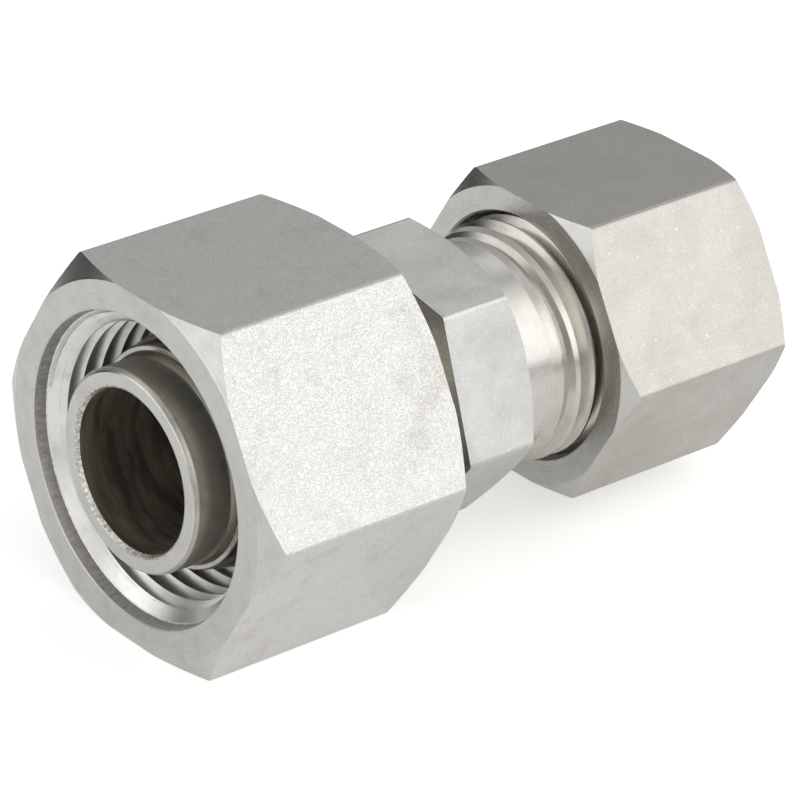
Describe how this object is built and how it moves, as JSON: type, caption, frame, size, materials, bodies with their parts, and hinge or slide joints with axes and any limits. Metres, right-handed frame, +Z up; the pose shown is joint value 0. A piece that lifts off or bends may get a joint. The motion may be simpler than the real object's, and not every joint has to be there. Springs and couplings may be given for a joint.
{
  "type": "reducing standpipe fitting",
  "caption": "Stainless steel compression fitting: a plain standpipe with a loose union nut at one end, a hexagon body, and a smaller threaded tube socket with its nut and cutting ring.",
  "frame": {"origin": "on the surface that the fitting lies on, below its axis and midway between the standpipe end and the small nut's rear face", "axes": "+X along the fitting's axis from the standpipe end towards the small nut, +Z up from the big nut's lower flat, +Y across"},
  "size_m": [0.0514, 0.031, 0.027],
  "materials": {
    "body_steel": "turned and milled stainless steel, satin, with scratches on the flats",
    "big_nut_steel": "stainless steel nut with tumbled, finely pitted flats and turned faces",
    "small_nut_steel": "stainless steel nut with satin flats and turned faces",
    "ring_steel": "turned stainless steel cutting ring"
  },
  "bodies": {
    "standpipe": {"standpipe_body": "body_steel", "big_cutting_ring": "ring_steel"},
    "big_union_nut": {"big_nut": "big_nut_steel"},
    "small_ring": {"small_cutting_ring": "ring_steel"},
    "small_union_nut": {"small_nut": "small_nut_steel"}
  },
  "joints": [
    {"name": "big_nut_spin", "type": "hinge", "parent": "standpipe", "child": "big_union_nut", "pos_m": [-0.01627, 0, 0.0135], "axis": [1, 0, 0], "continuous": true},
    {"name": "small_ring_slide", "type": "slide", "parent": "standpipe", "child": "small_ring", "axis": [1, 0, 0], "range_m": [-0.00038, 0.00225]},
    {"name": "small_nut_turn", "type": "hinge", "parent": "small_ring", "child": "small_union_nut", "pos_m": [0.01777, 0, 0.0135], "axis": [1, 0, 0], "range_deg": [-90, 540]}
  ],
  "couplings": [
    {"joint": "small_ring_slide", "follows": "small_nut_turn", "m_per_rad": 0.00023873}
  ]
}
